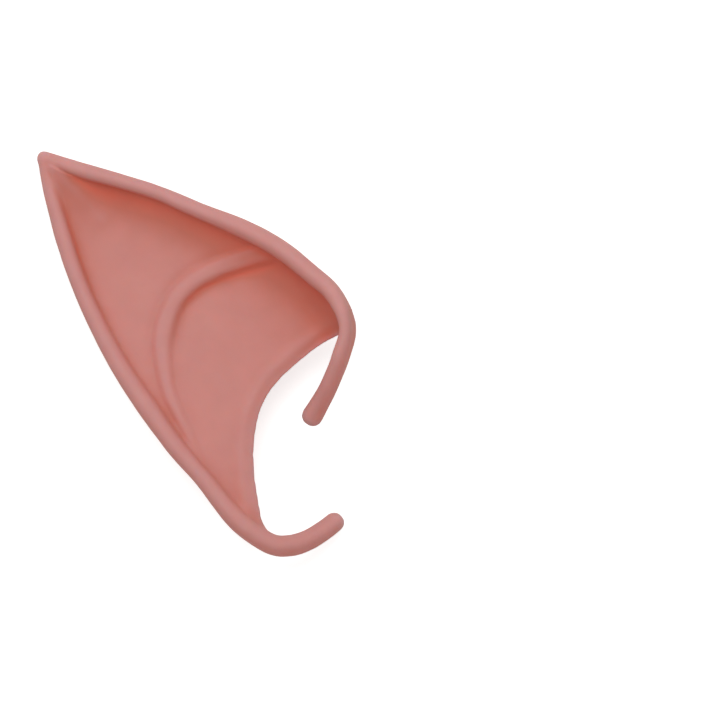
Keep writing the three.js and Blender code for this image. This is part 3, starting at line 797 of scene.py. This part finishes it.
latex.use_nodes = True
tree = latex.node_tree
shader = tree.nodes["Principled BSDF"]
painted_shade = add(tree, "ShaderNodeAttribute", attribute_name="painted_shade", attribute_type="GEOMETRY")
own_place = add(tree, "ShaderNodeTexCoord")
# Painted shade: the colour turns deeper and redder where less light reaches.
shade_ramp = add(tree, "ShaderNodeValToRGB", {"Fac": painted_shade.outputs["Fac"]})
stops = shade_ramp.color_ramp.elements
stops[0].position, stops[0].color = 0.01, linear("#e79990")
stops[1].position, stops[1].color = 0.7, linear("#ea765e")
for position, colour in ((0.28, "#dd8779"), (0.45, "#db7c69")):
    stops.new(position).color = linear(colour)
proud = add(tree, "ShaderNodeAttribute", attribute_name="proud", attribute_type="GEOMETRY")
# Points that stand proud turn paler and pinker: partly powder, partly a painted highlight.
powder_and_highlight_share = add(
    tree,
    "ShaderNodeMath",
    {0: proud.outputs["Fac"], 1: POWDER_AND_HIGHLIGHT},
    operation="MULTIPLY",
)
powder_and_highlight = add(
    tree,
    "ShaderNodeMix",
    {"Factor": powder_and_highlight_share.outputs["Value"], "A": shade_ramp.outputs["Color"], "B": linear("#e6acaa")},
    data_type="RGBA",
)
blotches = add(
    tree,
    "ShaderNodeTexNoise",
    {"Vector": own_place.outputs["Object"], "Scale": 1 / BLOTCH_SIZE, "Detail": 3},
)
shift = add(
    tree,
    "ShaderNodeMapRange",
    {"Value": blotches.outputs["Fac"], "From Min": 0.3, "From Max": 0.7, "To Min": 0.975, "To Max": 1.025},
)
tint = add(
    tree,
    "ShaderNodeVectorMath",
    {0: powder_and_highlight.outputs["Result"], "Scale": shift.outputs["Result"]},
    operation="SCALE",
)
tree.links.new(tint.outputs["Vector"], shader.inputs["Base Color"])
pores = add(
    tree,
    "ShaderNodeTexNoise",
    {"Vector": own_place.outputs["Object"], "Scale": 1 / PORE_SIZE, "Detail": 2},
)
skin_bump = add(
    tree,
    "ShaderNodeBump",
    {"Height": pores.outputs["Fac"], "Distance": PORE_DEPTH, "Strength": 1},
)
tree.links.new(skin_bump.outputs["Normal"], shader.inputs["Normal"])
shader.inputs["Sheen Weight"].default_value = 0.15
shader.inputs["Roughness"].default_value = 0.6
shader.inputs["Subsurface Weight"].default_value = 0.45
shader.inputs["Subsurface Radius"].default_value = (1.0, 0.3, 0.15)
shader.inputs["Subsurface Scale"].default_value = 1.1 * MM
ear.data.materials.clear()
ear.data.materials.append(latex)
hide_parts("ear_skin")
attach(ear, "root")

# The studio
# The cap lies on white paper, under one large soft light above its upper edge. The paper glows a
# little towards the camera alone, as it does in a bright studio, and lights nothing.
PAPER_GLOW = 0.67
ROOM_LIGHT = 0.38
SOFTBOX_POWER = 5.35
CAMERA_HEIGHT = 3.0
VIEW_WIDTH = 0.1876

floor = link_mesh("floor", [(-2, -2, 0), (2, -2, 0), (2, 2, 0), (-2, 2, 0)], faces=[(0, 1, 2, 3)])
paper = bpy.data.materials.new("white_paper")
paper.use_nodes = True
sheet = paper.node_tree.nodes["Principled BSDF"]
sheet.inputs["Base Color"].default_value = linear("#f4f3f1")
sheet.inputs["Roughness"].default_value = 0.9
sheet.inputs["Emission Color"].default_value = (1, 1, 1, 1)
looked_at = add(paper.node_tree, "ShaderNodeLightPath")
glow = add(
    paper.node_tree,
    "ShaderNodeMath",
    {0: looked_at.outputs["Is Camera Ray"], 1: PAPER_GLOW},
    operation="MULTIPLY",
)
paper.node_tree.links.new(glow.outputs["Value"], sheet.inputs["Emission Strength"])
floor.data.materials.append(paper)

world = bpy.data.worlds.new("studio")
bpy.context.scene.world = world
world.use_nodes = True
world.node_tree.nodes["Background"].inputs["Color"].default_value = (1, 1, 1, 1)
world.node_tree.nodes["Background"].inputs["Strength"].default_value = ROOM_LIGHT

softbox = bpy.data.lights.new("softbox", "AREA")
softbox.shape = "RECTANGLE"
softbox.size = 0.9
softbox.size_y = 0.6
softbox.energy = SOFTBOX_POWER
softbox_object = bpy.data.objects.new("softbox", softbox)
bpy.context.scene.collection.objects.link(softbox_object)
softbox_object.location = (-0.1, 0.5, 1.05)
aim = Vector((0, 0, 0)) - softbox_object.location
softbox_object.rotation_euler = aim.to_track_quat("-Z", "Y").to_euler()

camera_data = bpy.data.cameras.new("camera")
camera_data.sensor_width = 36
camera_data.lens = 36 * CAMERA_HEIGHT / VIEW_WIDTH
camera_data.clip_end = 10
camera = bpy.data.objects.new("camera", camera_data)
camera.location = (0.0425, -0.0016, CAMERA_HEIGHT)
bpy.context.scene.collection.objects.link(camera)
bpy.context.scene.camera = camera
bpy.context.scene.view_settings.view_transform = "Standard"
